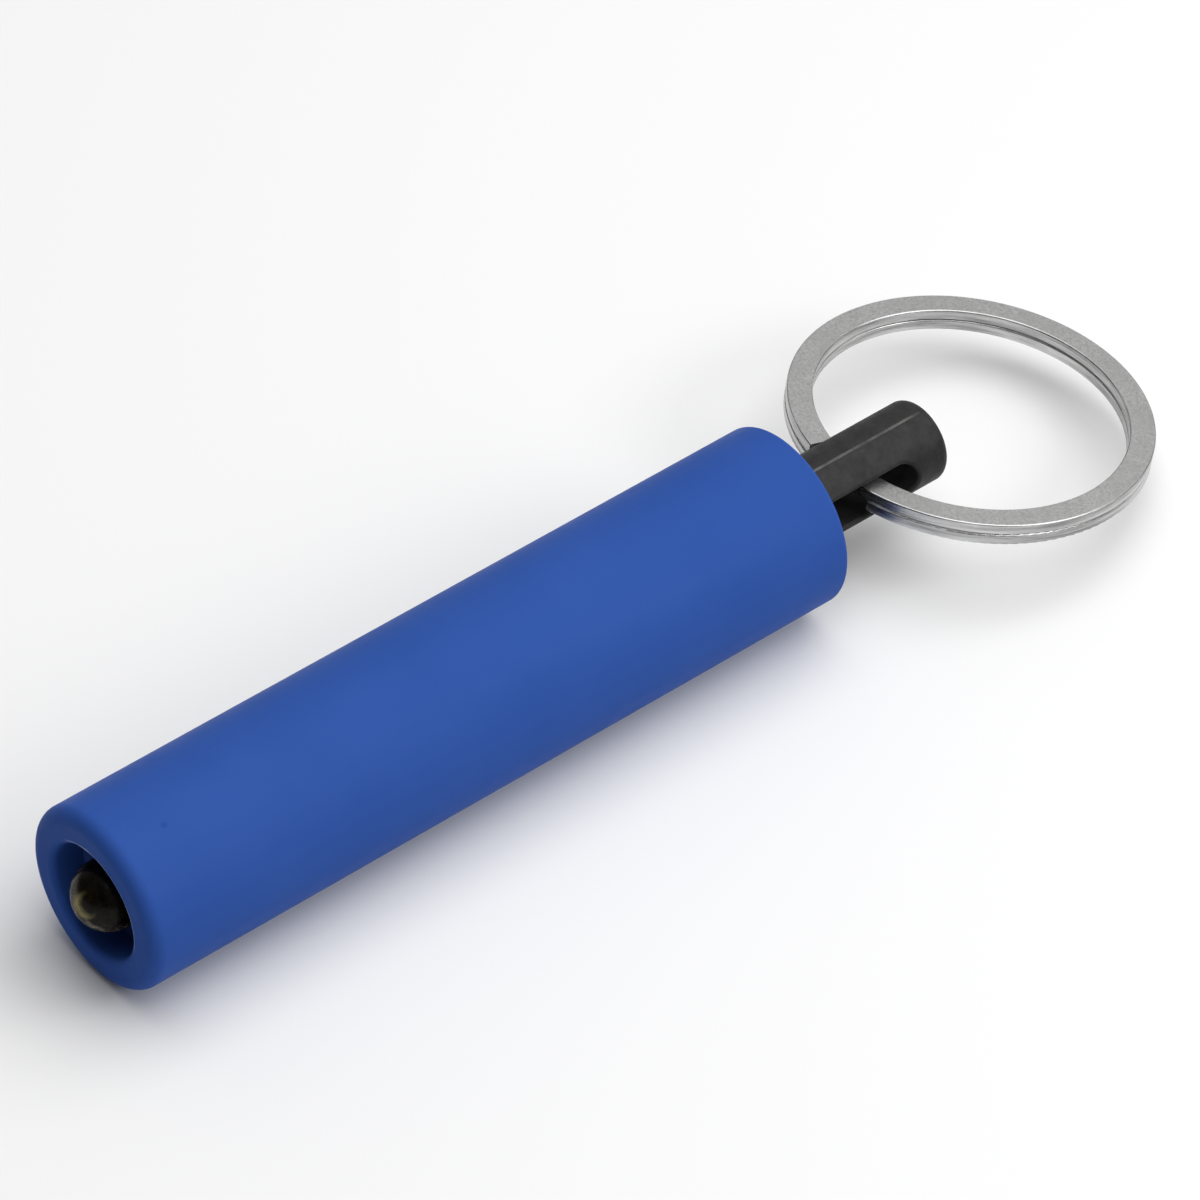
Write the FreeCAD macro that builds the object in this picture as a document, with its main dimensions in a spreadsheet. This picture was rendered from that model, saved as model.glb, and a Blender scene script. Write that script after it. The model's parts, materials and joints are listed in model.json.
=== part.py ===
import FreeCAD, Part
import math
import os

import Sketcher

# Keychain flashlight, in millimetres.  The optical axis runs along Y: the lamp faces -Y, the key ring
# trails towards +Y and +Z is up.  The origin is on the axis, half way along the barrel.  Every station
# below is a distance behind the front face of the barrel, so each body is shifted by half its length.

os.makedirs("parts", exist_ok=True)
doc = FreeCAD.newDocument("keychain_flashlight")

DIMENSIONS = [
    ("barrel_radius", 6.35),
    ("barrel_length", 56.5),
    ("front_edge_round", 0.95),
    ("mouth_edge_round", 0.45),
    ("rear_edge_round", 0.3),
    ("mouth_radius", 4.0),
    ("mouth_wall_end", 2.4),
    ("mouth_floor", 3.4),
    ("lamp_hole_radius", 2.43),
    ("front_wall_end", 5.0),
    ("bore_radius", 5.15),
    ("socket_radius", 5.35),
    ("socket_start", 50.5),
    ("snap_groove_radius", 5.55),
    ("snap_groove_start", 51.9),
    ("snap_groove_end", 52.9),
    ("bush_radius", 5.32),
    ("bush_bead_radius", 5.5),
    ("bush_bead_start", 52.0),
    ("bush_bead_end", 52.8),
    ("bush_start", 50.53),
    ("bush_end", 56.1),
    ("bush_edge_round", 0.3),
    ("guide_radius", 2.96),
    ("cartridge_radius", 5.1),
    ("cartridge_start", 5.05),
    ("cartridge_end", 44.0),
    ("lamp_seat_radius", 2.43),
    ("flange_groove_start", 6.47),
    ("flange_groove_end", 7.53),
    ("flange_groove_radius", 2.93),
    ("lead_chamber_radius", 2.4),
    ("cell_bay_start", 12.0),
    ("cell_bay_radius", 3.98),
    ("switch_chamber_start", 27.0),
    ("switch_chamber_radius", 4.05),
    ("guide_start", 40.0),
    ("peg_radius", 0.5),
    ("peg_height", 1.0),
    ("peg_offset", 4.1),
    ("peg_front_station", 10.0),
    ("peg_rear_station", 42.0),
    ("peg_clearance", 0.03),
    ("contact_plate_radius", 3.93),
    ("contact_plate_start", 12.02),
    ("contact_plate_end", 12.38),
    ("cell_start", 12.4),
    ("cell_pitch", 3.61),
    ("cell_height", 3.6),
    ("can_radius", 3.95),
    ("can_inner_radius", 3.65),
    ("can_lip_radius", 3.5),
    ("can_base", 0.3),
    ("can_lip_start", 3.1),
    ("can_height", 3.3),
    ("can_edge_round", 0.22),
    ("cap_skirt_radius", 3.35),
    ("cap_radius", 3.1),
    ("cap_base", 0.35),
    ("cap_shoulder", 2.9),
    ("cap_edge_round", 0.3),
    ("gasket_fit", 0.02),
    ("gasket_height", 3.4),
    ("spring_start", 26.85),
    ("spring_end", 37.18),
    ("spring_mean_radius", 2.4),
    ("spring_wire_radius", 0.25),
    ("spring_turns", 6.5),
    ("rail_width", 1.5),
    ("rail_outer", 4.95),
    ("rail_thickness", 0.3),
    ("rail_front", 9.0),
    ("rail_front_reach", 1.0),
    ("rail_rear", 35.68),
    ("rail_rear_reach", 3.0),
    ("rail_clearance", 0.05),
    ("disc_radius", 3.8),
    ("disc_hole_radius", 0.82),
    ("disc_start", 37.2),
    ("disc_end", 37.5),
    ("rivet_head_radius", 1.9),
    ("rivet_head_start", 36.4),
    ("rivet_head_end", 37.18),
    ("rivet_shank_radius", 0.8),
    ("rivet_end", 40.5),
    ("rivet_edge_round", 0.3),
    ("plunger_radius", 2.9),
    ("plunger_end", 68.45),
    ("plunger_edge_round", 0.65),
    ("collar_radius", 3.9),
    ("collar_start", 37.52),
    ("collar_end", 39.96),
    ("rivet_hole_radius", 0.86),
    ("rivet_hole_end", 40.6),
    ("slot_height", 2.8),
    ("slot_start", 54.5),
    ("slot_end", 65.7),
    ("slot_edge_round", 0.25),
    ("lamp_radius", 2.38),
    ("lamp_dome_station", 1.3),
    ("lamp_flange_radius", 2.9),
    ("lamp_flange_start", 6.5),
    ("lamp_flange_end", 7.5),
    ("lead_width", 0.5),
    ("lead_inner", 1.02),
    ("lead_outer", 1.52),
    ("cathode_end", 9.0),
    ("anode_end", 12.0),
    ("cup_front", 2.7),
    ("cup_back", 3.6),
    ("cup_rim_radius", 1.2),
    ("cup_back_radius", 1.0),
    ("cup_mouth_radius", 0.95),
    ("cup_floor_radius", 0.7),
    ("cup_floor", 3.25),
    ("ring_mean_radius", 11.52),
    ("ring_width", 1.75),
    ("ring_layer", 0.78),
    ("ring_layer_offset", 0.41),
    ("ring_corner_round", 0.12),
    ("ring_side_shift", 0.6),
    ("ring_hinge_station", 62.2),
    ("ring_hinge_inset", 0.2),
    ("ring_tilt", 7.6),
    ("ring_jog_half_angle", 10.0),
    ("ring_upper_end_angle", 15.5),
    ("ring_lower_end_angle", 11.3),
]

sheet = doc.addObject("Spreadsheet::Sheet", "Dimensions")
for row, (alias, number) in enumerate(DIMENSIONS, start=1):
    sheet.set("A%d" % row, alias.replace("_", " "))
    sheet.set("B%d" % row, str(number))
    sheet.setAlias("B%d" % row, alias)
doc.recompute()


class Size:
    """A length together with the spreadsheet expression that it comes from."""

    def __init__(self, number, text):
        self.number = number
        self.text = text

    def __add__(self, other):
        other = size(other)
        return Size(self.number + other.number, "(%s + %s)" % (self.text, other.text))

    def __sub__(self, other):
        other = size(other)
        return Size(self.number - other.number, "(%s - %s)" % (self.text, other.text))

    def __mul__(self, factor):
        return Size(self.number * factor, "(%s * %s)" % (self.text, factor))

    def __neg__(self):
        return Size(-self.number, "(-1 * %s)" % self.text)


def size(value):
    if isinstance(value, Size):
        return value
    return Size(float(value), str(float(value)))


class Dims:
    """Reads the driving dimensions from the spreadsheet by name."""

    def __getattr__(self, alias):
        return Size(float(getattr(sheet, alias)), "Dimensions.%s" % alias)


d = Dims()


def new_body(label):
    body = doc.addObject("PartDesign::Body", label)
    body.Label = label
    body.setExpression("Placement.Base.y", "-Dimensions.barrel_length / 2")
    return body


def new_sketch(body, name, plane):
    sketch = body.newObject("Sketcher::SketchObject", name)
    support = [f for f in body.Origin.OriginFeatures if f.Role == plane][0]
    sketch.AttachmentSupport = (support, [""])
    sketch.MapMode = "FlatFace"
    sketch.Visibility = False
    return sketch


def fix_point(sketch, geometry, vertex, x, y):
    """Ties a sketch vertex to the origin with distances driven by the spreadsheet."""
    for kind, wanted, axis in (("DistanceX", size(x), -2), ("DistanceY", size(y), -1)):
        if abs(wanted.number) < 1e-9:
            sketch.addConstraint(Sketcher.Constraint("PointOnObject", geometry, vertex, axis))
            continue
        number = sketch.addConstraint(
            Sketcher.Constraint(kind, -1, 1, geometry, vertex, wanted.number)
        )
        sketch.setExpression("Constraints[%d]" % number, wanted.text)


def polygon(body, name, plane, points):
    """A closed outline of straight lines, every corner driven by the spreadsheet."""
    sketch = new_sketch(body, name, plane)
    corners = [FreeCAD.Vector(size(x).number, size(y).number, 0) for x, y in points]
    count = len(points)
    for i in range(count):
        sketch.addGeometry(Part.LineSegment(corners[i], corners[(i + 1) % count]), False)
    for i in range(count):
        sketch.addConstraint(Sketcher.Constraint("Coincident", i, 2, (i + 1) % count, 1))
    for i, (x, y) in enumerate(points):
        fix_point(sketch, i, 1, x, y)
    return sketch


def circle(body, name, plane, x, y, radius):
    return circles(body, name, plane, [(x, y)], radius)


def circles(body, name, plane, centres, radius):
    sketch = new_sketch(body, name, plane)
    radius = size(radius)
    for i, (x, y) in enumerate(centres):
        centre = FreeCAD.Vector(size(x).number, size(y).number, 0)
        sketch.addGeometry(Part.Circle(centre, FreeCAD.Vector(0, 0, 1), radius.number), False)
        fix_point(sketch, i, 3, x, y)
        number = sketch.addConstraint(Sketcher.Constraint("Radius", i, radius.number))
        sketch.setExpression("Constraints[%d]" % number, radius.text)
    return sketch


def revolve(body, name, sketch, angle=360.0, backwards=False):
    feature = body.newObject("PartDesign::Revolution", name)
    feature.Profile = sketch
    feature.ReferenceAxis = (sketch, ["V_Axis"])
    feature.Angle = angle
    feature.Reversed = backwards
    body.Tip = feature
    doc.recompute()
    return feature


def extrude(body, kind, name, sketch, length, both_ways=True, backwards=False):
    feature = body.newObject("PartDesign::" + kind, name)
    feature.Profile = sketch
    feature.Type = "Length"
    feature.setExpression("Length", size(length).text)
    feature.SideType = "Symmetric" if both_ways else "One side"
    feature.Reversed = backwards
    body.Tip = feature
    doc.recompute()
    return feature


def rim(radius, station):
    """Picks the circular edges of one radius at one station."""

    def wanted(edge):
        curve = edge.Curve
        if not isinstance(curve, Part.Circle):
            return False
        return abs(curve.Radius - radius.number) < 1e-4 and abs(curve.Center.y - station.number) < 1e-4

    return wanted


def round_edges(body, name, radius, *choices):
    base = body.Tip
    names = []
    for number, edge in enumerate(base.Shape.Edges, start=1):
        if any(choice(edge) for choice in choices):
            names.append("Edge%d" % number)
    if not names:
        raise RuntimeError("%s: no edge to round" % name)
    feature = body.newObject("PartDesign::Fillet", name)
    feature.Base = (base, names)
    feature.setExpression("Radius", radius.text)
    body.Tip = feature
    doc.recompute()
    return feature


def turned(label, points, angle=360.0, backwards=False):
    """A body turned about the optical axis from (radius, station) points."""
    body = new_body(label)
    sketch = polygon(body, label + "_profile", "XY_Plane", points)
    revolve(body, label + "_turned", sketch, angle, backwards)
    return body


nodes = {}

# ---- Barrel: one moulded tube with a rounded lip, a stepped bore and a rear socket ------------------
barrel = turned(
    "barrel",
    [
        (d.mouth_radius, 0),
        (d.barrel_radius, 0),
        (d.barrel_radius, d.barrel_length),
        (d.socket_radius, d.barrel_length),
        (d.socket_radius, d.snap_groove_end),
        (d.snap_groove_radius, d.snap_groove_end),
        (d.snap_groove_radius, d.snap_groove_start),
        (d.socket_radius, d.snap_groove_start),
        (d.socket_radius, d.socket_start),
        (d.bore_radius, d.socket_start),
        (d.bore_radius, d.front_wall_end),
        (d.lamp_hole_radius, d.front_wall_end),
        (d.lamp_hole_radius, d.mouth_floor),
        (d.mouth_radius, d.mouth_wall_end),
    ],
)
round_edges(barrel, "barrel_front_round", d.front_edge_round, rim(d.barrel_radius, size(0)))
round_edges(barrel, "barrel_mouth_round", d.mouth_edge_round, rim(d.mouth_radius, size(0)))
round_edges(barrel, "barrel_rear_round", d.rear_edge_round, rim(d.barrel_radius, d.barrel_length))
nodes["barrel"] = barrel

# ---- Rear bush: snaps into the socket and guides the plunger ----------------------------------------
rear_bush = turned(
    "rear_bush",
    [
        (d.guide_radius, d.bush_start),
        (d.bush_radius, d.bush_start),
        (d.bush_radius, d.bush_bead_start),
        (d.bush_bead_radius, d.bush_bead_start),
        (d.bush_bead_radius, d.bush_bead_end),
        (d.bush_radius, d.bush_bead_end),
        (d.bush_radius, d.bush_end),
        (d.guide_radius, d.bush_end),
    ],
)
round_edges(
    rear_bush,
    "rear_bush_edge_round",
    d.bush_edge_round,
    rim(d.guide_radius, d.bush_end),
    rim(d.bush_radius, d.bush_end),
)
nodes["rear_bush"] = rear_bush

# ---- Cartridge: two half shells that hold the lamp, the cells and the switch ------------------------
CARTRIDGE_OUTLINE = [
    (d.lamp_seat_radius, d.cartridge_start),
    (d.cartridge_radius, d.cartridge_start),
    (d.cartridge_radius, d.cartridge_end),
    (d.guide_radius, d.cartridge_end),
    (d.guide_radius, d.guide_start),
    (d.switch_chamber_radius, d.guide_start),
    (d.switch_chamber_radius, d.switch_chamber_start),
    (d.cell_bay_radius, d.switch_chamber_start),
    (d.cell_bay_radius, d.cell_bay_start),
    (d.lead_chamber_radius, d.cell_bay_start),
    (d.lead_chamber_radius, d.flange_groove_end),
    (d.flange_groove_radius, d.flange_groove_end),
    (d.flange_groove_radius, d.flange_groove_start),
    (d.lamp_seat_radius, d.flange_groove_start),
]
PEG_CENTRES = [
    (side, station)
    for side in (d.peg_offset, -d.peg_offset)
    for station in (d.peg_front_station, d.peg_rear_station)
]

cartridge_lower = turned("cartridge_lower", CARTRIDGE_OUTLINE, 180.0, False)
rail_gap_front = d.rail_front - d.rail_clearance
rail_gap_front_end = d.rail_front + d.rail_thickness + d.rail_clearance
rail_gap_rear_start = d.rail_rear - d.rail_thickness - d.rail_clearance
rail_gap_rear = d.rail_rear + d.rail_clearance
rail_floor = d.rail_clearance + d.rail_thickness - d.rail_outer
rail_channel = polygon(
    cartridge_lower,
    "rail_channel_outline",
    "YZ_Plane",
    [
        (rail_gap_front, -d.bore_radius),
        (rail_gap_front, -d.rail_front_reach),
        (rail_gap_front_end, -d.rail_front_reach),
        (rail_gap_front_end, rail_floor),
        (rail_gap_rear_start, rail_floor),
        (rail_gap_rear_start, -d.rail_rear_reach),
        (rail_gap_rear, -d.rail_rear_reach),
        (rail_gap_rear, -d.bore_radius),
    ],
)
extrude(
    cartridge_lower,
    "Pocket",
    "rail_channel",
    rail_channel,
    d.rail_width + d.rail_clearance * 2.0,
)
pegs = circles(cartridge_lower, "peg_outline", "XY_Plane", PEG_CENTRES, d.peg_radius)
extrude(cartridge_lower, "Pad", "pegs", pegs, d.peg_height, both_ways=True)
nodes["cartridge_lower"] = cartridge_lower

cartridge_upper = turned("cartridge_upper", CARTRIDGE_OUTLINE, 180.0, True)
holes = circles(
    cartridge_upper,
    "peg_hole_outline",
    "XY_Plane",
    PEG_CENTRES,
    d.peg_radius + d.peg_clearance,
)
extrude(
    cartridge_upper,
    "Pocket",
    "peg_holes",
    holes,
    d.peg_height + d.peg_clearance * 4.0,
    both_ways=True,
)
nodes["cartridge_upper"] = cartridge_upper

# ---- Front contact plate between the lamp's anode and the first cell --------------------------------
nodes["front_contact"] = turned(
    "front_contact",
    [
        (0, d.contact_plate_start),
        (d.contact_plate_radius, d.contact_plate_start),
        (d.contact_plate_radius, d.contact_plate_end),
        (0, d.contact_plate_end),
    ],
)

# ---- Four button cells, each a can, a sealing gasket and a cap --------------------------------------
for index in range(4):
    label = "cell_%d" % (index + 1)
    start = d.cell_start + d.cell_pitch * float(index)
    can = turned(
        label + "_can",
        [
            (0, start),
            (d.can_radius, start),
            (d.can_radius, start + d.can_height),
            (d.can_lip_radius, start + d.can_height),
            (d.can_lip_radius, start + d.can_lip_start),
            (d.can_inner_radius, start + d.can_lip_start),
            (d.can_inner_radius, start + d.can_base),
            (0, start + d.can_base),
        ],
    )
    round_edges(
        can,
        label + "_can_round",
        d.can_edge_round,
        rim(d.can_radius, start),
        rim(d.can_radius, start + d.can_height),
    )
    cap = turned(
        label + "_cap",
        [
            (0, start + d.cap_base),
            (d.cap_skirt_radius, start + d.cap_base),
            (d.cap_skirt_radius, start + d.cap_shoulder),
            (d.cap_radius, start + d.cap_shoulder),
            (d.cap_radius, start + d.cell_height),
            (0, start + d.cell_height),
        ],
    )
    round_edges(
        cap, label + "_cap_round", d.cap_edge_round, rim(d.cap_radius, start + d.cell_height)
    )
    gasket = turned(
        label + "_gasket",
        [
            (d.cap_skirt_radius + d.gasket_fit, start + d.cap_base),
            (d.can_inner_radius - d.gasket_fit, start + d.cap_base),
            (d.can_inner_radius - d.gasket_fit, start + d.can_lip_start - d.gasket_fit),
            (d.can_lip_radius - d.gasket_fit, start + d.can_lip_start - d.gasket_fit),
            (d.can_lip_radius - d.gasket_fit, start + d.gasket_height),
            (d.cap_radius + d.gasket_fit, start + d.gasket_height),
            (d.cap_radius + d.gasket_fit, start + d.cap_shoulder + d.gasket_fit),
            (d.cap_skirt_radius + d.gasket_fit, start + d.cap_shoulder + d.gasket_fit),
        ],
    )
    nodes[label + "_can"] = can
    nodes[label + "_gasket"] = gasket
    nodes[label + "_cap"] = cap

# ---- Contact spring: a round wire wound from the last cell back to the contact disc -----------------
wire_radius = d.spring_wire_radius.number
spring_length = d.spring_end.number - d.spring_start.number
rise = spring_length - 2 * wire_radius
helix = Part.makeHelix(rise / d.spring_turns.number, rise, d.spring_mean_radius.number)
section = Part.Wire(
    Part.makeCircle(
        wire_radius,
        FreeCAD.Vector(d.spring_mean_radius.number, 0, 0),
        FreeCAD.Vector(0, 1, 0),
    )
)
coil = Part.Wire(helix.Edges).makePipeShell([section], True, True)
contact_spring = doc.addObject("Part::Feature", "contact_spring")
contact_spring.Label = "contact_spring"
contact_spring.Shape = coil
contact_spring.Placement = FreeCAD.Placement(
    FreeCAD.Vector(0, d.spring_start.number + wire_radius - d.barrel_length.number / 2, 0),
    FreeCAD.Rotation(FreeCAD.Vector(1, 0, 0), -90),
)
nodes["contact_spring"] = contact_spring

# ---- Contact rail: a strip under the cells with both ends turned inwards ----------------------------
contact_rail = new_body("contact_rail")
rail_outline = polygon(
    contact_rail,
    "contact_rail_outline",
    "YZ_Plane",
    [
        (d.rail_front, -d.rail_outer),
        (d.rail_front, -d.rail_front_reach),
        (d.rail_front + d.rail_thickness, -d.rail_front_reach),
        (d.rail_front + d.rail_thickness, d.rail_thickness - d.rail_outer),
        (d.rail_rear - d.rail_thickness, d.rail_thickness - d.rail_outer),
        (d.rail_rear - d.rail_thickness, -d.rail_rear_reach),
        (d.rail_rear, -d.rail_rear_reach),
        (d.rail_rear, -d.rail_outer),
    ],
)
extrude(contact_rail, "Pad", "contact_rail_strip", rail_outline, d.rail_width)
nodes["contact_rail"] = contact_rail

# ---- Moving contact: a disc carried on a headed rivet ------------------------------------------------
nodes["contact_disc"] = turned(
    "contact_disc",
    [
        (d.disc_hole_radius, d.disc_start),
        (d.disc_radius, d.disc_start),
        (d.disc_radius, d.disc_end),
        (d.disc_hole_radius, d.disc_end),
    ],
)
contact_rivet = turned(
    "contact_rivet",
    [
        (0, d.rivet_head_start),
        (d.rivet_head_radius, d.rivet_head_start),
        (d.rivet_head_radius, d.rivet_head_end),
        (d.rivet_shank_radius, d.rivet_head_end),
        (d.rivet_shank_radius, d.rivet_end),
        (0, d.rivet_end),
    ],
)
round_edges(
    contact_rivet,
    "contact_rivet_round",
    d.rivet_edge_round,
    rim(d.rivet_head_radius, d.rivet_head_start),
)
nodes["contact_rivet"] = contact_rivet

# ---- Plunger: collar inside, round post outside, with a long slot through it for the key ring --------
plunger = turned(
    "plunger",
    [
        (d.rivet_hole_radius, d.collar_start),
        (d.collar_radius, d.collar_start),
        (d.collar_radius, d.collar_end),
        (d.plunger_radius, d.collar_end),
        (d.plunger_radius, d.plunger_end),
        (0, d.plunger_end),
        (0, d.rivet_hole_end),
        (d.rivet_hole_radius, d.rivet_hole_end),
    ],
)
round_edges(
    plunger, "plunger_end_round", d.plunger_edge_round, rim(d.plunger_radius, d.plunger_end)
)
slot_half = d.slot_height * 0.5
slot_front = d.slot_start + slot_half
slot_rear = d.slot_end - slot_half
for name, station in (("slot_front_hole", slot_front), ("slot_rear_hole", slot_rear)):
    hole = circle(plunger, name + "_outline", "YZ_Plane", station, 0, slot_half)
    extrude(plunger, "Pocket", name, hole, d.plunger_radius * 4.0)
slot_outline = polygon(
    plunger,
    "slot_outline",
    "YZ_Plane",
    [
        (slot_front, -slot_half),
        (slot_rear, -slot_half),
        (slot_rear, slot_half),
        (slot_front, slot_half),
    ],
)
extrude(plunger, "Pocket", "slot", slot_outline, d.plunger_radius * 4.0)


def slot_edge(edge):
    """The long edges and end arcs where the slot breaks through the round post."""
    box = edge.BoundBox
    inside = box.YMin > d.slot_start.number - 0.01 and box.YMax < d.slot_end.number + 0.01
    on_post = all(
        abs(math.hypot(point.x, point.z) - d.plunger_radius.number) < 1e-3
        for point in edge.discretize(5)
    )
    return inside and on_post


round_edges(plunger, "slot_edge_round", d.slot_edge_round, slot_edge)
nodes["plunger"] = plunger

# ---- Lamp: clear body with a domed end, leads, reflector cup and phosphor ----------------------------
led_cathode_lead = new_body("led_cathode_lead")
cathode_outline = polygon(
    led_cathode_lead,
    "cathode_outline",
    "YZ_Plane",
    [
        (d.cathode_end, -d.lead_outer),
        (d.cathode_end, -d.lead_inner),
        (7.0, -d.lead_inner),
        (6.6, 0.15),
        (5.6, 0.15),
        (d.cup_back, 0.6),
        (d.cup_back - 0.2, 0.6),
        (d.cup_back - 0.2, -0.6),
        (4.9, -1.4),
        (6.6, -1.75),
        (7.0, -d.lead_outer),
    ],
)
extrude(led_cathode_lead, "Pad", "cathode_strip", cathode_outline, d.lead_width)
cup_profile = polygon(
    led_cathode_lead,
    "cup_profile",
    "XY_Plane",
    [
        (0, d.cup_back),
        (d.cup_back_radius, d.cup_back),
        (d.cup_rim_radius, d.cup_front),
        (d.cup_mouth_radius, d.cup_front),
        (d.cup_floor_radius, d.cup_floor),
        (0, d.cup_floor),
    ],
)
revolve(led_cathode_lead, "reflector_cup", cup_profile)
nodes["led_cathode_lead"] = led_cathode_lead

led_anode_lead = new_body("led_anode_lead")
anode_outline = polygon(
    led_anode_lead,
    "anode_outline",
    "YZ_Plane",
    [
        (d.anode_end, d.lead_inner),
        (7.0, d.lead_inner),
        (6.6, 0.55),
        (5.4, 0.55),
        (4.9, 1.3),
        (3.9, 1.3),
        (3.9, 1.75),
        (6.6, 1.75),
        (7.0, d.lead_outer),
        (d.anode_end, d.lead_outer),
    ],
)
extrude(led_anode_lead, "Pad", "anode_strip", anode_outline, d.lead_width)
nodes["led_anode_lead"] = led_anode_lead

nodes["led_phosphor"] = turned(
    "led_phosphor",
    [
        (0, d.cup_front),
        (d.cup_mouth_radius, d.cup_front),
        (d.cup_floor_radius, d.cup_floor),
        (0, d.cup_floor),
    ],
)

lamp_blank = new_body("lamp_blank")
lamp_profile = new_sketch(lamp_blank, "lamp_profile", "XY_Plane")
dome_centre = FreeCAD.Vector(0, d.lamp_dome_station.number, 0)
dome = Part.Circle(dome_centre, FreeCAD.Vector(0, 0, 1), d.lamp_radius.number)
lamp_profile.addGeometry(Part.ArcOfCircle(dome, -math.pi / 2, 0), False)
LAMP_CORNERS = [
    (d.lamp_radius, d.lamp_dome_station),
    (d.lamp_radius, d.lamp_flange_start),
    (d.lamp_flange_radius, d.lamp_flange_start),
    (d.lamp_flange_radius, d.lamp_flange_end),
    (0, d.lamp_flange_end),
    (0, d.lamp_dome_station - d.lamp_radius),
]
for (x0, y0), (x1, y1) in zip(LAMP_CORNERS, LAMP_CORNERS[1:]):
    lamp_profile.addGeometry(
        Part.LineSegment(
            FreeCAD.Vector(size(x0).number, size(y0).number, 0),
            FreeCAD.Vector(size(x1).number, size(y1).number, 0),
        ),
        False,
    )
lines = len(LAMP_CORNERS) - 1
lamp_profile.addConstraint(Sketcher.Constraint("Coincident", 0, 2, 1, 1))
for i in range(1, lines):
    lamp_profile.addConstraint(Sketcher.Constraint("Coincident", i, 2, i + 1, 1))
lamp_profile.addConstraint(Sketcher.Constraint("Coincident", lines, 2, 0, 1))
for i, (x, y) in enumerate(LAMP_CORNERS[:-1]):
    fix_point(lamp_profile, i + 1, 1, x, y)
lamp_profile.addConstraint(Sketcher.Constraint("PointOnObject", lines, 2, -2))
fix_point(lamp_profile, 0, 3, 0, d.lamp_dome_station)
revolve(lamp_blank, "lamp_turned", lamp_profile)

lamp_inserts = doc.addObject("Part::MultiFuse", "lamp_inserts")
lamp_inserts.Label = "lamp_inserts"
lamp_inserts.Shapes = [led_cathode_lead, led_anode_lead, nodes["led_phosphor"]]
led_lens = doc.addObject("Part::Cut", "led_lens")
led_lens.Label = "led_lens"
led_lens.Base = lamp_blank
led_lens.Tool = lamp_inserts
doc.recompute()
nodes["led_lens"] = led_lens

# ---- Split ring: one flat wire wound twice round, stepping from layer to layer inside the slot -------
ring_radius = d.ring_mean_radius.number
layer_offset = d.ring_layer_offset.number


def ring_section(angle, height):
    """The rounded wire section, standing at one angle round the ring."""
    half_width = d.ring_width.number / 2
    half_layer = d.ring_layer.number / 2
    corner = d.ring_corner_round.number
    slant = corner * (1 - math.sqrt(0.5))
    inner = ring_radius - half_width
    outer = ring_radius + half_width
    low = height - half_layer
    high = height + half_layer
    starts = [
        (inner + corner, low),
        (outer, low + corner),
        (outer - corner, high),
        (inner, high - corner),
    ]
    corners = [
        ((outer - corner, low), (outer - slant, low + slant), (outer, low + corner)),
        ((outer, high - corner), (outer - slant, high - slant), (outer - corner, high)),
        ((inner + corner, high), (inner + slant, high - slant), (inner, high - corner)),
        ((inner, low + corner), (inner + slant, low + slant), (inner + corner, low)),
    ]
    edges = []
    for (x, z), (begin, middle, end) in zip(starts, corners):
        first = FreeCAD.Vector(x, 0, z)
        arc = [FreeCAD.Vector(px, 0, pz) for px, pz in (begin, middle, end)]
        edges.append(Part.makeLine(first, arc[0]))
        edges.append(Part.Arc(*arc).toShape())
    wire = Part.Wire(edges)
    wire.rotate(FreeCAD.Vector(0, 0, 0), FreeCAD.Vector(0, 0, 1), angle)
    return wire


def ring_arc(start, end, height):
    """A length of one layer between two angles."""
    face = Part.Face(ring_section(start, height))
    return face.revolve(FreeCAD.Vector(0, 0, 0), FreeCAD.Vector(0, 0, 1), end - start)


def ring_point(angle, height):
    turn = math.radians(angle)
    return FreeCAD.Vector(ring_radius * math.cos(turn), ring_radius * math.sin(turn), height)


crossing = -90 + math.degrees(math.asin(d.ring_side_shift.number / ring_radius))
jog_start = crossing - d.ring_jog_half_angle.number
jog_end = crossing + d.ring_jog_half_angle.number
STEPS = 16
jog_points = []
for step in range(STEPS + 1):
    part_way = step / STEPS
    ease = part_way * part_way * (3 - 2 * part_way)
    jog_points.append(
        ring_point(jog_start + part_way * (jog_end - jog_start), layer_offset * (2 * ease - 1))
    )
jog_curve = Part.BSplineCurve()
jog_curve.interpolate(
    Points=jog_points,
    InitialTangent=ring_point(jog_start + 90, 0),
    FinalTangent=ring_point(jog_end + 90, 0),
)
jog_path = Part.Wire([jog_curve.toShape()])
jog_sweep = Part.BRepOffsetAPI.MakePipeShell(jog_path)
jog_sweep.setBiNormalMode(FreeCAD.Vector(0, 0, 1))
jog_sweep.add(ring_section(jog_start, -layer_offset))
jog_sweep.build()
jog_sweep.makeSolid()
jog = jog_sweep.shape()
upper_layer = ring_arc(
    jog_end, crossing - d.ring_upper_end_angle.number + 360, layer_offset
)
lower_layer = ring_arc(
    crossing + d.ring_lower_end_angle.number, jog_start + 360, -layer_offset
)
ring_shape = upper_layer.fuse([lower_layer, jog]).removeSplitter()

# The ring hangs down behind the barrel, tipped about the hinge line.
centre_reach = math.sqrt(ring_radius**2 - d.ring_side_shift.number**2) - d.ring_hinge_inset.number
ring_turn = FreeCAD.Rotation(FreeCAD.Vector(1, 0, 0), -d.ring_tilt.number)
hinge_line = FreeCAD.Vector(0, d.ring_hinge_station.number - d.barrel_length.number / 2, 0)
ring_centre = FreeCAD.Vector(-d.ring_side_shift.number, centre_reach, 0)
split_ring = doc.addObject("Part::Feature", "split_ring")
split_ring.Label = "split_ring"
split_ring.Shape = ring_shape
split_ring.Placement = FreeCAD.Placement(hinge_line + ring_turn.multVec(ring_centre), ring_turn)
nodes["split_ring"] = split_ring

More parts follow.
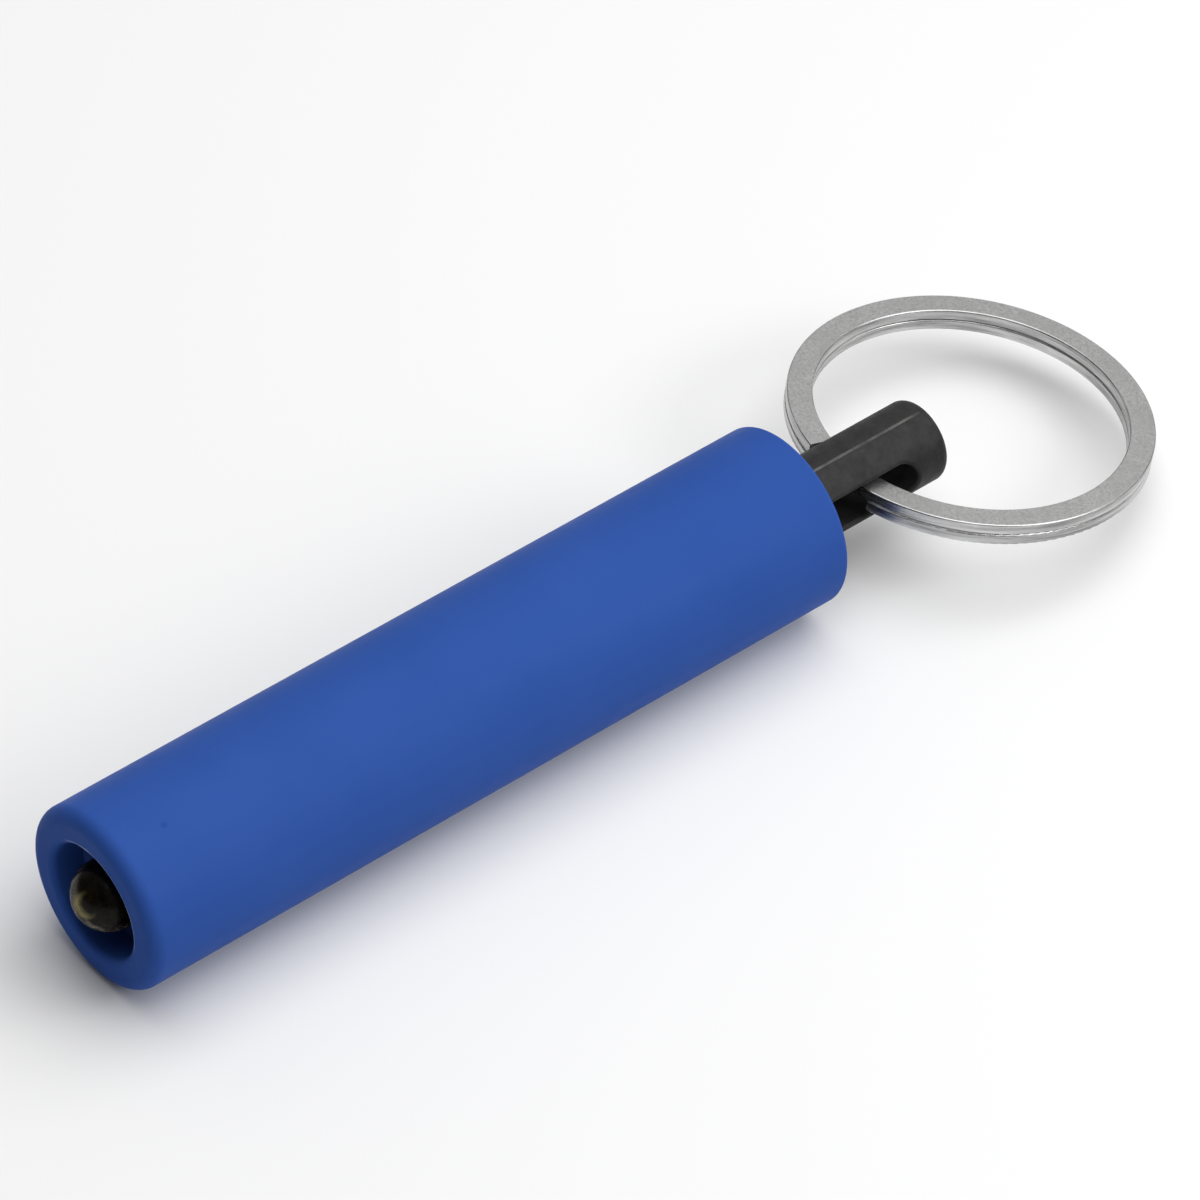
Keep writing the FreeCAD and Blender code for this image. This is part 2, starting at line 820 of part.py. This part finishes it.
# ---- Check every object and write one file per piece -------------------------------------------------
doc.recompute()
for item in doc.Objects:
    if "Invalid" in item.State or "Error" in item.State:
        raise RuntimeError("%s is not valid: %s" % (item.Label, item.State))
for label, item in nodes.items():
    shape = item.Shape
    if shape.isNull() or not shape.isValid() or len(shape.Solids) != 1:
        raise RuntimeError("%s has a bad shape: %d solids" % (label, len(shape.Solids)))
    shape.exportStep("parts/%s.step" % label)
    box = shape.BoundBox
    print(
        "%-18s %9.3f mm3  x %.2f %.2f  y %.2f %.2f  z %.2f %.2f"
        % (label, shape.Volume, box.XMin, box.XMax, box.YMin, box.YMax, box.ZMin, box.ZMax)
    )
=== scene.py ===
"""Looks for the keychain flashlight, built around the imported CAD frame.

Lengths are in millimetres, and MM turns them into the frame's metres.  Noise scales are per metre.
The optical axis runs along Y with the lamp facing -Y.  A station is a distance behind the front face
of the barrel.
"""

import json
import math

import bpy
from mathutils import Matrix, Vector


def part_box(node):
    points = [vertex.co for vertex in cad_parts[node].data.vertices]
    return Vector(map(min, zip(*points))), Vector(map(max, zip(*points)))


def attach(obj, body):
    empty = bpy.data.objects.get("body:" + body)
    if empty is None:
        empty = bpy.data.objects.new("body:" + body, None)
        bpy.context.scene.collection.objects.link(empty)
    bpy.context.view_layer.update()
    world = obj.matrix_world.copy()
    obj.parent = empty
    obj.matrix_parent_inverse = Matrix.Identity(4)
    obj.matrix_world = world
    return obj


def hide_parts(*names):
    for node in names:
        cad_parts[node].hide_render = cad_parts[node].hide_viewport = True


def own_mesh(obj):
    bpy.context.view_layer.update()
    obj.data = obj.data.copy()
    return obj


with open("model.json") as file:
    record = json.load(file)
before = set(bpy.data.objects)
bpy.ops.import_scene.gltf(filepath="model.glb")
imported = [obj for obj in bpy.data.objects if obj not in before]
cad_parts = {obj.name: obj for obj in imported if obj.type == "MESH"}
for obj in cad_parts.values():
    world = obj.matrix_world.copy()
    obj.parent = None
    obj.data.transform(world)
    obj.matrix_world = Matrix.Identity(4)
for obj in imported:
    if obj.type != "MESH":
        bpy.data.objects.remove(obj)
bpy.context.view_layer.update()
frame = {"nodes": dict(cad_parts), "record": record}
nodes = frame["nodes"]

MM = 0.001
FRONT_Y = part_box("barrel")[0].y / MM
FLOOR_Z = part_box("barrel")[0].z / MM

# The split ring hangs below the barrel's line by this many degrees.
RING_TILT = 7.6

# The side of the mouth and lamp that faces up and to +X, as the x and z of a direction.
UPPER_SIDE = (0.55, 0.83)

# The radius of a circle on the rounded edge of the mouth, where a pale glint is painted into the colour.
MOUTH_EDGE = 4.26

# The post, and its parting line: stations of the ends, turn from the top, half width and height.
POST_RADIUS = 2.9
PARTING_START, PARTING_END = 56.6, 67.75
PARTING_ANGLE = math.radians(6.5)
PARTING_HALF_WIDTH, PARTING_HEIGHT = 0.13, 0.035

# Brightness of the studio at the horizon and overhead, and the share left towards the barrel's front.
WORLD_LOW, WORLD_HIGH, WORLD_FRONT = 0.50, 0.72, 0.08


# ---- Materials ---------------------------------------------------------------------------------------

class Look:
    """A small builder for procedural materials."""

    def __init__(self, name):
        self.material = bpy.data.materials.new(name)
        self.material.use_nodes = True
        self.tree = self.material.node_tree
        self.shader = self.tree.nodes["Principled BSDF"]

    def node(self, kind, **values):
        made = self.tree.nodes.new(kind)
        for key, value in values.items():
            if key in made.inputs:
                made.inputs[key].default_value = value
            else:
                setattr(made, key, value)
        return made

    def join(self, a, b):
        self.tree.links.new(a, b)

    def set(self, **values):
        """Uniform values, straight on the shader's own sockets."""
        for key, value in values.items():
            self.shader.inputs[key.replace("_", " ")].default_value = value

    def place(self):
        """The point on the piece, in metres in the shared frame."""
        return self.node("ShaderNodeTexCoord").outputs["Object"]

    def noise(self, scale, detail=4.0, vector=None, roughness=0.5):
        made = self.node("ShaderNodeTexNoise", Scale=scale, Detail=detail, Roughness=roughness)
        self.join(vector or self.place(), made.inputs["Vector"])
        return made.outputs["Fac"]

    def stretch(self, x, y, z):
        made = self.node("ShaderNodeMapping", Scale=(x, y, z))
        self.join(self.place(), made.inputs["Vector"])
        return made.outputs["Vector"]

    def levels(self, fac, low, high, a, b):
        """Maps fac from [low, high] to [a, b], clamped."""
        made = self.node("ShaderNodeMapRange")
        made.inputs["From Min"].default_value = low
        made.inputs["From Max"].default_value = high
        made.inputs["To Min"].default_value = a
        made.inputs["To Max"].default_value = b
        self.join(fac, made.inputs["Value"])
        return made.outputs["Result"]

    def blend(self, fac, a, b):
        """A colour between a and b."""
        made = self.node("ShaderNodeMix", data_type="RGBA")
        self.join(fac, made.inputs["Factor"])
        sockets = [s for s in made.inputs if s.type == "RGBA"]
        for socket, value in zip(sockets, (a, b)):
            if isinstance(value, tuple):
                socket.default_value = (*value, 1)
            else:
                self.join(value, socket)
        return [s for s in made.outputs if s.type == "RGBA"][0]

    def math(self, operation, a, b=None):
        """One sum on numbers or sockets."""
        made = self.node("ShaderNodeMath", operation=operation)
        for socket, value in zip(made.inputs, (a, b)):
            if isinstance(value, (int, float)):
                socket.default_value = value
            elif value is not None:
                self.join(value, socket)
        return made.outputs["Value"]

    def split(self, vector=None):
        made = self.node("ShaderNodeSeparateXYZ")
        self.join(vector or self.place(), made.inputs["Vector"])
        return made.outputs

    def dot(self, vector, along):
        made = self.node("ShaderNodeVectorMath", operation="DOT_PRODUCT")
        self.join(vector, made.inputs[0])
        made.inputs[1].default_value = along
        return made.outputs["Value"]

    def colour(self, source):
        self.join(source, self.shader.inputs["Base Color"])

    def rough(self, source):
        self.join(source, self.shader.inputs["Roughness"])

    def product(self, first, *others):
        for other in others:
            first = self.math("MULTIPLY", first, other)
        return first

    def upper_side(self, x, z):
        """How far a point lies towards the upper side of the mouth, in metres."""
        across, up = UPPER_SIDE
        return self.math("ADD", self.math("MULTIPLY", x, across), self.math("MULTIPLY", z, up))

    def bump(self, height, strength, distance, after=None):
        made = self.node("ShaderNodeBump", Strength=strength, Distance=distance * MM)
        self.join(height, made.inputs["Height"])
        if after:
            self.join(after, made.inputs["Normal"])
        self.join(made.outputs["Normal"], self.shader.inputs["Normal"])
        return made.outputs["Normal"]


def blue_plastic():
    """Satin moulded plastic with a faint cloud, a few specks, very soft ripples and a painted glint along
    the mouth's edge.
    """
    look = Look("blue_plastic")
    look.set(Specular_IOR_Level=0.02)
    cloud = look.levels(look.noise(140.0, 4.0), 0.3, 0.7, 0, 1)
    main = look.blend(cloud, (0.0255, 0.0765, 0.312), (0.0290, 0.0825, 0.330))
    shade = look.blend(specks(look), main, (0.012, 0.044, 0.20))
    # A pale painted glint along the upper side of the mouth's edge.
    look.colour(look.blend(painted_mouth_glint(look), shade, (0.42, 0.46, 0.58)))
    look.rough(look.levels(look.noise(700.0, 4.0), 0.3, 0.7, 0.40, 0.48))
    ripple = look.bump(look.noise(260.0, 2.0, look.stretch(1, 0.12, 1)), 0.18, 0.04)
    look.bump(look.noise(5200.0, 3.0), 0.12, 0.02, ripple)
    return look.material


def specks(look):
    """Small dark dots, in only a few patches."""
    cell = look.node("ShaderNodeTexVoronoi", Scale=210.0, feature="F1")
    look.join(look.place(), cell.inputs["Vector"])
    rare = look.levels(look.noise(95.0, 1.0), 0.52, 0.60, 0, 0.55)
    return look.product(look.levels(cell.outputs["Distance"], 0.02, 0.06, 1, 0), rare)


def painted_mouth_glint(look):
    """A painted glint: a thin pale line along the upper side of the mouth's rounded edge, where the light
    catches it.
    """
    x, y, z = look.split()
    reach = look.math("SQRT", look.math("ADD", look.math("POWER", x, 2.0), look.math("POWER", z, 2.0)))
    off_edge = look.math("ABSOLUTE", look.math("SUBTRACT", reach, MOUTH_EDGE * MM))
    edge = look.levels(off_edge, 0.04 * MM, 0.12 * MM, 1, 0)
    lip = look.levels(y, (FRONT_Y + 0.10) * MM, (FRONT_Y + 0.20) * MM, 1, 0)
    side = look.levels(look.upper_side(x, z), 1.2 * MM, 3.4 * MM, 0, 1)
    patches = look.levels(look.noise(1100.0, 3.0), 0.3, 0.6, 0.3, 1)
    return look.product(edge, lip, side, patches)


def black_plastic():
    """Matt black moulded plastic with a mottled surface."""
    look = Look("black_plastic")
    look.colour(mottled_black(look))
    matt_surface(look)
    return look.material


def mottled_black(look):
    """Black with slightly paler patches."""
    mottle = look.noise(1100.0, 6.0, roughness=0.7)
    return look.blend(look.levels(mottle, 0.3, 0.7, 0, 1), (0.007, 0.007, 0.007), (0.021, 0.021, 0.0206))


def matt_surface(look):
    """The grain and gloss that the black plastics share."""
    look.set(Specular_IOR_Level=0.25)
    look.rough(look.levels(look.noise(1500.0), 0.3, 0.7, 0.48, 0.62))
    look.bump(look.noise(2600.0, 5.0), 0.35, 0.04)


def grey_bead_plastic():
    """The black plastic of the raised parting line, grey in uneven patches."""
    look = Look("grey_bead_plastic")
    # The bead is paler grey in uneven patches.
    grey_patches = look.levels(look.noise(700.0, 4.0), 0.35, 0.65, 0.25, 1.0)
    look.colour(look.blend(grey_patches, mottled_black(look), (0.10, 0.10, 0.097)))
    matt_surface(look)
    return look.material


def cartridge_plastic():
    """Dark grey plastic of the cartridge inside the barrel."""
    look = Look("cartridge_plastic")
    look.colour(look.blend(look.noise(500.0), (0.018, 0.018, 0.019), (0.028, 0.028, 0.029)))
    look.rough(look.levels(look.noise(1500.0), 0.3, 0.7, 0.45, 0.6))
    look.bump(look.noise(3000.0, 4.0), 0.25, 0.03)
    return look.material


def metal(name, low, high, rough_low, rough_high):
    """Metal with a fine grain between two colours and two roughnesses."""
    look = Look(name)
    look.set(Metallic=1.0)
    grain = look.noise(900.0, 5.0)
    look.colour(look.blend(look.levels(grain, 0.3, 0.7, 0, 1), low, high))
    look.rough(look.levels(grain, 0.3, 0.7, rough_low, rough_high))
    look.bump(look.noise(2700.0, 4.0), 0.2, 0.02)
    return look.material


def ring_steel():
    """Plated spring steel: grainy grey flats, polished corners and streaked sides that follow the coil."""
    look = Look("ring_steel")
    look.set(Metallic=1.0)
    lean = math.radians(RING_TILT)
    across = (0.0, math.sin(lean), math.cos(lean))
    facing = look.math("ABSOLUTE", look.dot(look.node("ShaderNodeTexCoord").outputs["Normal"], across))
    flat = look.levels(facing, 0.90, 0.985, 0, 1)
    low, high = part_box("split_ring")
    middle = (low + high) / 2
    shift = look.node("ShaderNodeVectorMath", operation="SUBTRACT")
    look.join(look.place(), shift.inputs[0])
    shift.inputs[1].default_value = middle
    x, y, _ = look.split(shift.outputs["Vector"])
    depth = look.dot(shift.outputs["Vector"], across)
    # The way round the coil is shrunk to this radius, so that the streaks run long.
    streak_radius = 0.6
    coil = look.node("ShaderNodeCombineXYZ")
    look.join(look.math("MULTIPLY", look.math("ARCTAN2", x, y), streak_radius * MM), coil.inputs["X"])
    look.join(depth, coil.inputs["Z"])
    streak = look.noise(2400.0, 5.0, coil.outputs["Vector"], 0.65)
    grain = look.noise(5200.0, 6.0, roughness=0.75)
    blotch = look.noise(420.0, 3.0)
    flat_tone = look.blend(look.levels(grain, 0.3, 0.7, 0, 1), (0.25, 0.25, 0.248), (0.54, 0.54, 0.535))
    flat_tone = look.blend(look.levels(blotch, 0.35, 0.65, 0, 0.5), flat_tone, (0.36, 0.36, 0.356))
    side_tone = look.blend(look.levels(streak, 0.35, 0.65, 0, 1), (0.22, 0.22, 0.22), (0.62, 0.62, 0.615))
    look.colour(look.blend(flat, side_tone, flat_tone))
    flat_rough = look.levels(grain, 0.3, 0.7, 0.42, 0.58)
    side_rough = look.levels(streak, 0.3, 0.7, 0.20, 0.34)
    mix = look.node("ShaderNodeMix", data_type="FLOAT")
    # Its second socket is the factor for vectors, which stays free.
    for socket, source in zip(mix.inputs, (flat, None, side_rough, flat_rough)):
        if source:
            look.join(source, socket)
    look.rough(mix.outputs["Result"])
    first = look.bump(streak, 0.35, 0.03)
    look.bump(grain, 0.35, 0.02, first)
    return look.material


def seal_plastic():
    """Green-black seal between a cell's can and its cap."""
    look = Look("cell_seal")
    look.colour(look.blend(look.noise(700.0), (0.02, 0.05, 0.035), (0.03, 0.07, 0.05)))
    look.rough(look.levels(look.noise(1500.0), 0.3, 0.7, 0.4, 0.55))
    look.bump(look.noise(2500.0), 0.2, 0.02)
    return look.material


def lamp_resin():
    """Glossy resin, dark from the parts inside it, with a painted grey reflection on its lower side and a
    painted olive image of the phosphor seen through its tip.
    """
    look = Look("lamp_resin")
    look.set(IOR=1.5, Transmission_Weight=0.12, Specular_IOR_Level=0.04)
    x, y, z = look.split()
    # Centres of the two discs that make the painted image of the phosphor, in millimetres.
    image_centre, cut_centre = (0.34, 0.56), (0.86, 1.12)

    def reach_from(centre):
        """Distance from a line along the axis, a little uneven."""
        across, up = centre
        side = look.math("POWER", look.math("SUBTRACT", x, across * MM), 2.0)
        rise = look.math("POWER", look.math("SUBTRACT", z, up * MM), 2.0)
        wobble = look.levels(look.noise(1300.0, 3.0), 0.3, 0.7, -0.10 * MM, 0.10 * MM)
        return look.math("ADD", look.math("SQRT", look.math("ADD", side, rise)), wobble)

    cloud = look.noise(1500.0, 6.0, roughness=0.65)
    # A painted reflection: pale grey mottling over the lower side of the dome.
    lower_side = look.levels(look.upper_side(x, z), -0.1 * MM, 0.9 * MM, 1, 0)
    painted_reflection = look.product(lower_side, look.levels(cloud, 0.46, 0.68, 0, 1))
    body = look.blend(look.levels(cloud, 0.35, 0.7, 0, 1), (0.003, 0.0024, 0.0012), (0.014, 0.011, 0.006))
    body = look.blend(painted_reflection, body, (0.210, 0.175, 0.128))
    # A painted image of the phosphor seen through the dome: an olive crescent near the tip, made of one disc
    # less another.
    image_disc = look.levels(reach_from(image_centre), 0.56 * MM, 1.00 * MM, 1, 0)
    image_cut = look.levels(reach_from(cut_centre), 0.62 * MM, 1.06 * MM, 0, 1)
    front = look.levels(y, FRONT_Y * MM, (FRONT_Y + 0.6) * MM, 1, 0)
    painted_phosphor_image = look.product(image_disc, image_cut, front, look.levels(cloud, 0.32, 0.60, 0.45, 1.0))
    look.colour(look.blend(painted_phosphor_image, body, (0.300, 0.262, 0.105)))
    look.rough(look.levels(look.noise(800.0), 0.3, 0.7, 0.16, 0.30))
    look.bump(look.noise(900.0, 3.0), 0.12, 0.05)
    return look.material


def phosphor_resin():
    """The yellow phosphor in the lamp's cup."""
    look = Look("lamp_phosphor")
    look.colour(look.blend(look.noise(6000.0, 4.0), (0.42, 0.40, 0.05), (0.62, 0.55, 0.10)))
    look.rough(look.levels(look.noise(3000.0), 0.3, 0.7, 0.45, 0.7))
    look.bump(look.noise(9000.0), 0.4, 0.02)
    return look.material


LOOKS = {
    "blue_plastic": blue_plastic(),
    "black_plastic": black_plastic(),
    "cartridge_plastic": cartridge_plastic(),
    "ring_steel": ring_steel(),
    "spring_steel": metal("spring_steel", (0.50, 0.50, 0.52), (0.60, 0.60, 0.61), 0.22, 0.35),
    "cell_steel": metal("cell_steel", (0.62, 0.62, 0.63), (0.70, 0.70, 0.70), 0.18, 0.30),
    "cell_seal": seal_plastic(),
    "contact_brass": metal("contact_brass", (0.66, 0.46, 0.18), (0.76, 0.56, 0.24), 0.22, 0.36),
    "lamp_resin": lamp_resin(),
    "lamp_phosphor": phosphor_resin(),
    "lamp_lead": metal("lamp_lead", (0.55, 0.54, 0.52), (0.66, 0.65, 0.62), 0.25, 0.40),
}

# Every CAD node keeps its mesh and takes the look of its material slot.
for part in frame["record"]["subparts"]:
    node = nodes[part["node"]]
    node.data.materials.clear()
    node.data.materials.append(LOOKS[part["material_slot"]])


def add_parting_line():
    """The low rounded bead left by the mould along the post, sunk a little into its surface."""
    steps = 60
    across = 9
    taper_steps = 3
    edge_sink, underside_sink = 0.02, 0.05

    def point(station, side, lift):
        turn = PARTING_ANGLE + side * PARTING_HALF_WIDTH / POST_RADIUS
        reach = POST_RADIUS + lift
        return (reach * math.sin(turn) * MM, (station + FRONT_Y) * MM, reach * math.cos(turn) * MM)

    points, faces = [], []
    for i in range(steps + 1):
        station = PARTING_START + (PARTING_END - PARTING_START) * i / steps
        taper = min(1.0, i / taper_steps, (steps - i) / taper_steps)
        # The bead is rubbed down unevenly along the post.
        rub = 0.82 + 0.18 * math.sin(1.7 * i) * math.sin(0.61 * i + 1)
        for k in range(across):
            side = 2 * k / (across - 1) - 1
            lift = -edge_sink + (PARTING_HEIGHT * taper * rub + edge_sink) * (1 - side * side)
            points.append(point(station, side, lift))
        for k in range(across):
            points.append(point(station, 1 - 2 * k / (across - 1), -underside_sink))
    loop = 2 * across
    for i in range(steps):
        for k in range(loop):
            n = (k + 1) % loop
            faces.append((i * loop + k, i * loop + n, (i + 1) * loop + n, (i + 1) * loop + k))
    faces.append(tuple(reversed(range(loop))))
    faces.append(tuple(steps * loop + k for k in range(loop)))
    mesh = bpy.data.meshes.new("post_parting_line")
    mesh.from_pydata(points, [], faces)
    mesh.polygons.foreach_set("use_smooth", [True] * len(mesh.polygons))
    mesh.set_sharp_from_angle(angle=math.radians(40))
    mesh.materials.append(grey_bead_plastic())
    bead = bpy.data.objects.new("post_parting_line", mesh)
    bpy.context.scene.collection.objects.link(bead)
    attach(bead, "plunger")


def add_spring():
    """The contact spring again, as its own copy of the mesh on the barrel, with the CAD part hidden."""
    source = nodes["contact_spring"]
    spring = bpy.data.objects.new("contact_spring_coil", source.data.copy())
    spring.matrix_world = source.matrix_world.copy()
    bpy.context.scene.collection.objects.link(spring)
    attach(spring, "barrel")
    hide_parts("contact_spring")
    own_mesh(spring)


add_parting_line()
add_spring()


# ---- Stage, light and camera -------------------------------------------------------------------------

def flat_material(name, colour, roughness):
    """A plain finish, used only on the stage."""
    look = Look(name)
    look.set(Base_Color=(*colour, 1), Roughness=roughness, Specular_IOR_Level=0.2)
    return look.material


def add_floor():
    """A pale floor that the barrel lies on."""
    half = 3000 * MM
    z = FLOOR_Z * MM
    corners = [(-half, -half, z), (half, -half, z), (half, half, z), (-half, half, z)]
    mesh = bpy.data.meshes.new("floor")
    mesh.from_pydata(corners, [], [(0, 1, 2, 3)])
    floor = bpy.data.objects.new("floor", mesh)
    mesh.materials.append(flat_material("floor_white", (0.82, 0.82, 0.82), 0.9))
    bpy.context.scene.collection.objects.link(floor)


def add_area(name, place, target, width, height, power):
    """A rectangular light at place, aimed at target, both in millimetres."""
    light = bpy.data.lights.new(name, "AREA")
    light.shape = "RECTANGLE"
    light.size = width * MM
    light.size_y = height * MM
    light.energy = power
    lamp = bpy.data.objects.new(name, light)
    lamp.location = Vector(place) * MM
    aim = Vector(target) * MM - lamp.location
    lamp.rotation_euler = aim.to_track_quat("-Z", "Y").to_euler()
    bpy.context.scene.collection.objects.link(lamp)


def add_world():
    """A soft studio: bright overhead and towards the ring, dim towards the front of the barrel."""
    world = bpy.data.worlds.new("studio")
    world.use_nodes = True
    tree = world.node_tree
    back = tree.nodes["Background"]
    place = tree.nodes.new("ShaderNodeTexCoord")
    parts = tree.nodes.new("ShaderNodeSeparateXYZ")
    tree.links.new(place.outputs["Generated"], parts.inputs["Vector"])

    def ramp(source, low, high, a, b):
        made = tree.nodes.new("ShaderNodeMapRange")
        made.interpolation_type = "SMOOTHSTEP"
        for name, value in (("From Min", low), ("From Max", high), ("To Min", a), ("To Max", b)):
            made.inputs[name].default_value = value
        tree.links.new(source, made.inputs["Value"])
        return made.outputs["Result"]

    rise = ramp(parts.outputs["Z"], 0.0, 0.9, WORLD_LOW, WORLD_HIGH)
    dim = ramp(parts.outputs["Y"], -0.75, 0.25, WORLD_FRONT, 1.0)
    both = tree.nodes.new("ShaderNodeMath")
    both.operation = "MULTIPLY"
    tree.links.new(rise, both.inputs[0])
    tree.links.new(dim, both.inputs[1])
    tree.links.new(both.outputs["Value"], back.inputs["Strength"])
    back.inputs["Color"].default_value = (1, 1, 1, 1)
    bpy.context.scene.world = world


def add_camera(place, azimuth, elevation, roll, lens):
    """A camera at place in millimetres.  Azimuth 0 looks along +Y, and elevation looks down."""
    az, el, turn = (math.radians(v) for v in (azimuth, elevation, roll))
    forward = Vector((-math.sin(az) * math.cos(el), math.cos(az) * math.cos(el), -math.sin(el)))
    level = Vector((math.cos(az), math.sin(az), 0))
    up = level.cross(forward)
    right = level * math.cos(turn) + up * math.sin(turn)
    above = up * math.cos(turn) - level * math.sin(turn)
    data = bpy.data.cameras.new("camera")
    data.lens = lens
    data.sensor_width = 36
    data.clip_start = 10 * MM
    data.clip_end = 20000 * MM
    camera = bpy.data.objects.new("camera", data)
    basis = Matrix((right, above, -forward)).transposed()
    camera.matrix_world = Matrix.Translation(Vector(place) * MM) @ basis.to_4x4()
    bpy.context.scene.collection.objects.link(camera)
    bpy.context.scene.camera = camera


add_floor()
add_world()
add_area("key", place=(40, 120, 420), target=(0, 10, 0), width=520, height=520, power=1.75)
add_area("edge", place=(260, 190, 200), target=(0, 10, 0), width=220, height=120, power=0.35)
add_camera(place=(258.2, -217.23, 333.62), azimuth=48.339, elevation=43.851, roll=2.404, lens=225.0)
bpy.context.scene.view_settings.view_transform = "Standard"
